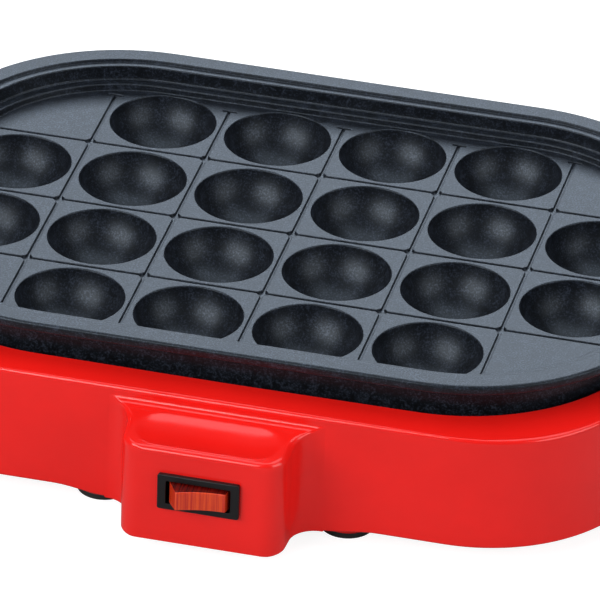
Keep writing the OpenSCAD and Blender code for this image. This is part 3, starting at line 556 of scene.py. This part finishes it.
def pod_rings():
    """Closed rings round the pod's front view, from the wall to the face."""
    z_low, half_wall, half_face = 6.7, 31.4, 30.3
    r_side, r_top, r_plan = 10.0, 2.0, 8.0
    full = POD_FACE - WALL_Y
    flat = 10.8
    depths = [0.0, 0.04, 0.12, 0.25, 0.45, 0.7, 1.0, 1.3, 1.65, 2.0, 2.5, 3.0, 3.6, 4.3, 5.1, 6.0,
              7.0, 8.2, 9.5]
    depths += [flat + (full - flat - r_plan) * k / 8 for k in range(8)]
    depths += [full - r_plan + r_plan * math.sin(math.pi / 2 * k / 26) for k in range(27)]
    rings = []
    for t in depths:
        edge = blend(POD_EDGE_R, full - t)
        half = half_wall + (half_face - half_wall) * t / full + blend(r_side, t) - blend(r_plan, full - t)
        top = pod_top_at(-WALL_Y - t) + blend(r_top, t) - edge
        ring = pod_ring(half, top, z_low + 0.4 * edge, 0.8 + 1.9 * min(1.0, t / 9.0), 0.9)
        lean = WALL_LEAN * max(0.0, 1 - t / r_side)
        rings.append([scooped((x, lean * (z - 9) - WALL_Y - t, z)) for x, z in ring])
    return rings


def pod_top_at(y):
    """Height of the pod's sloping top."""
    return POD_TOP_Z + (y + POD_FACE - POD_EDGE_R) * math.tan(POD_SLOPE)


def scooped(p):
    """Push a point of the pod's top down into the shallow oval dish."""
    x, y, z = p
    on_top = z > POD_TOP_Z - 8.2 and y < -WALL_Y - 1.75
    if not on_top:
        return p
    along = (y + POD_FACE - POD_EDGE_R) / math.cos(POD_SLOPE) - DISH_MID
    across = max(0.0, abs(x) - DISH_HALF)
    bottom = pod_top_at(y) - DISH_DEPTH + (along ** 2 + across ** 2) / (2 * DISH_R)
    h = max(DISH_SOFT - abs(z - bottom), 0.0) / DISH_SOFT
    return (x, y, min(z, bottom) - h * h * DISH_SOFT / 4)


def dip(x):
    """How far the wall's lower edge comes down beside the pod."""
    f = max(0.0, min(1.0, (61.0 - abs(x)) / 21.0))
    return 2.25 * f * f * (3 - 2 * f)


def build_housing():
    s = Sheet()
    levels = [inset(HOUSE, 2.5, 14), inset(HOUSE, 2.5, 9), inset(HOUSE, 0, 9), inset(HOUSE, 1.1, 54),
              (*DECK, 56.5), (*DECK, 52), inset(DECK, -1.4, 51)]
    radii = [0, 0.4, 1.2, 1.8, 1.0, 0.3, 0]
    paths = ring_profile(levels, radii, 6, corner=40, along=60, across=10)
    for path in paths:
        for p in path:
            if p.y < -100 and p.z < 20:
                p.z -= dip(p.x) * min(1.0, (20 - p.z) / 10)
    s.skin(paths)
    rings = pod_rings()
    rows = s.skin(list(zip(*rings)))
    face = [(x, z) for x, _, z in rings[-1]]
    hole = [(x, SWITCH_Z + z) for x, z in contour(14.15, 6.35, 0.3, corner=2, along=2, across=2)]
    at = {(round(x, 3), round(z, 3)): r[-1] for (x, z), r in zip(face, rows)}
    v, tris = triangles([face, hole], lambda x, z: inside(face, x, z) and not inside(hole, x, z))
    ids = []
    for p in v:
        key = (round(p.x, 3), round(p.y, 3))
        ids.append(at[key] if key in at else s.add([(p.x, -POD_FACE, p.y)])[0])
    for tri in tris:
        s.face([ids[i] for i in tri], smooth=False)
    s.skin([[(x, -POD_FACE, z), (x, 2.5 - POD_FACE, z)] for x, z in hole], smooth=False)
    obj = s.make("housing_shell", [mats["red_plastic"]])
    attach(obj, "base")
    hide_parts("housing")


# ---------------------------------------------------------------- switch
def framed(a, b, r, y):
    """Rounded rectangle in the switch's front plane, clockwise as seen from the front."""
    return [(x, y, SWITCH_Z + z) for x, z in contour(a, b, r, corner=6, along=2, across=2)]


def build_switch_frame():
    s = Sheet()
    face = -(POD_FACE + 1.8)
    levels = [framed(15.1, 7.1, 0.8, -POD_FACE + 0.3), framed(15.3, 7.3, 0.9, face),
              framed(12.0, 4.8, 0.5, face), framed(12.0, 4.8, 0.5, -125.3)]
    radii = [0, 0.45, 0.25, 0]
    paths = [fillet_path([ring[k] for ring in levels], radii, 4) for k in range(len(levels[0]))]
    rows = s.skin(paths)
    s.face([r[-1] for r in rows], smooth=False)
    body = [framed(14.0, 6.2, 0.4, -POD_FACE), framed(14.0, 6.2, 0.4, -115.0)]
    rows = s.skin([[ring[k] for ring in body] for k in range(len(body[0]))])
    s.face([r[-1] for r in rows], smooth=False)
    obj = s.make("switch_bezel", [mats["black_plastic"]])
    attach(obj, "base")
    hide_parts("switch_frame")


def build_rocker():
    """Tapered lens block with a hollowed, finely ribbed face, tilted about its pivot."""
    s = Sheet()
    base, top, base_h, top_h, foot, reach, hollow = 11.4, 9.05, 4.5, 3.75, 2.4, 9.0, 0.9
    c, q = math.cos(ROCKER_TILT), math.sin(ROCKER_TILT)

    def place(x, y, z):
        return (x * c - y * q, PIVOT_Y + x * q + y * c, SWITCH_Z + z)

    ribs = 120
    columns = [(-1.0, 0.4), (-0.985, 0.12)]
    columns += [(-0.965 + 1.93 * k / ribs, 0.03 * (k % 2)) for k in range(ribs + 1)]
    columns += [(0.985, 0.12), (1.0, 0.4)]
    paths = []
    for f, pull in columns:
        y = -(reach - hollow * (1 - f * f) - pull)
        line = [(base * f, -foot, -base_h), (top * f, y, -top_h),
                (top * f, y, top_h), (base * f, -foot, base_h)]
        paths.append([place(*p) for p in fillet_path(line, [0, 0.4, 0.4, 0], 4)])
    rows = [s.add(p) for p in paths]
    last = len(rows[0]) - 1
    for i in range(len(rows) - 1):
        for j in range(last):
            ids = (rows[i][j], rows[i + 1][j], rows[i + 1][j + 1], rows[i][j + 1])
            # the top and bottom faces, and the back face below, take the darker amber copy, which is painted
            # shade
            s.face(ids, True, 1 if j in (0, last - 1) else 0)
    s.face(rows[0][::-1], False, 2)
    s.face(rows[-1], False, 2)
    s.face([r[0] for r in rows][::-1] + [r[-1] for r in rows], False, 1)
    for sign in (-1, 1):
        pin = [[place(1.3 * math.cos(2 * math.pi * k / 24), 1.3 * math.sin(2 * math.pi * k / 24), z)
                for z in (sign * 4.4, sign * 5.5)] for k in range(24)]
        rows = s.skin(pin)
        s.face([r[-1] for r in rows], smooth=False)
    obj = s.make("rocker_lens", [mats["amber_plastic"], amber_painted_shade, amber_end])
    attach(obj, "rocker_body")
    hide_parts("rocker")


build_plate()
build_housing()
build_switch_frame()
build_rocker()


# ---------------------------------------------------------------- floor, light and camera
def floor():
    """White table that keeps the object's shadow; the camera alone sees its glow."""
    mesh = bpy.data.meshes.new("floor")
    r = FLOOR_HALF
    mesh.from_pydata([(-r, -r, 0), (r, -r, 0), (r, r, 0), (-r, r, 0)], [], [(0, 1, 2, 3)])
    obj = bpy.data.objects.new("floor", mesh)
    bpy.context.scene.collection.objects.link(obj)
    m, t, b = material("floor", (0.36, 0.36, 0.36), 0.9)
    path = t.nodes.new("ShaderNodeLightPath")
    level = t.nodes.new("ShaderNodeMath")
    level.operation = "MULTIPLY"
    level.inputs[1].default_value = 0.88
    b.inputs["Emission Color"].default_value = (1, 1, 1, 1)
    b.inputs["Specular IOR Level"].default_value = 0.1
    t.links.new(path.outputs["Is Camera Ray"], level.inputs[0])
    t.links.new(level.outputs[0], b.inputs["Emission Strength"])
    mesh.materials.append(m)


def lamp(name, at, size, size_y, power, color=(1, 1, 1)):
    """Soft box aimed at the object."""
    data = bpy.data.lights.new(name, "AREA")
    data.energy = power
    data.color = color
    data.shape = "RECTANGLE"
    data.size = size
    data.size_y = size_y
    obj = bpy.data.objects.new(name, data)
    obj.location = at
    obj.rotation_euler = (Vector((0, 0, 0.05)) - Vector(at)).to_track_quat("-Z", "Y").to_euler()
    bpy.context.scene.collection.objects.link(obj)


def world():
    """Background that is white for the camera and dim for the light it gives."""
    dim = 0.13
    w = bpy.data.worlds.new("studio")
    w.use_nodes = True
    bpy.context.scene.world = w
    t = w.node_tree
    bg = t.nodes["Background"]
    bg.inputs["Color"].default_value = (1, 1, 1, 1)
    path = t.nodes.new("ShaderNodeLightPath")
    most = t.nodes.new("ShaderNodeMath")
    most.operation = "MULTIPLY_ADD"
    most.inputs[1].default_value = 1 - dim
    most.inputs[2].default_value = dim
    t.links.new(path.outputs["Is Camera Ray"], most.inputs[0])
    t.links.new(most.outputs[0], bg.inputs["Strength"])


def camera():
    """Camera fitted to the photograph's channels and cavities."""
    az, el, roll = (math.radians(d) for d in (12.808, 30.9177, -2.0329))
    focal_px, distance = 8096.06, 3.01716
    width_px, aim_px = 600, (292.178, 233.778)
    back = Vector((math.sin(az) * math.cos(el), -math.cos(az) * math.cos(el), math.sin(el)))
    right = Vector((math.cos(az), math.sin(az), 0))
    up = back.cross(right)
    c, q = math.cos(roll), math.sin(roll)
    x_axis = right * c - up * q
    y_axis = right * q + up * c
    slide = Vector((aim_px[0] - width_px / 2, width_px / 2 - aim_px[1])) * (distance / focal_px)
    place = -(x_axis * slide.x + y_axis * slide.y - back * distance)
    place += Vector((0, PLATE_Y / 1000, COOK_Z / 1000))
    data = bpy.data.cameras.new("camera")
    data.lens = data.sensor_width * focal_px / width_px
    data.clip_end = 50
    obj = bpy.data.objects.new("camera", data)
    obj.matrix_world = Matrix((
        (x_axis.x, y_axis.x, back.x, place.x),
        (x_axis.y, y_axis.y, back.y, place.y),
        (x_axis.z, y_axis.z, back.z, place.z),
        (0, 0, 0, 1)))
    bpy.context.scene.collection.objects.link(obj)
    bpy.context.scene.camera = obj


floor()
world()
lamp("back", (0.0, 1.75, 1.2), 2.0, 0.8, 29, (0.78, 0.88, 1.0))
lamp("overhead", (0.0, 0.3, 2.0), 3.0, 1.3, 28, (0.88, 0.94, 1.0))
lamp("front_left", (-1.2, -1.65, 1.2), 2.0, 1.2, 48)
lamp("right", (2.1, -0.8, 0.9), 1.8, 1.2, 22)
camera()
bpy.context.scene.view_settings.view_transform = "Standard"
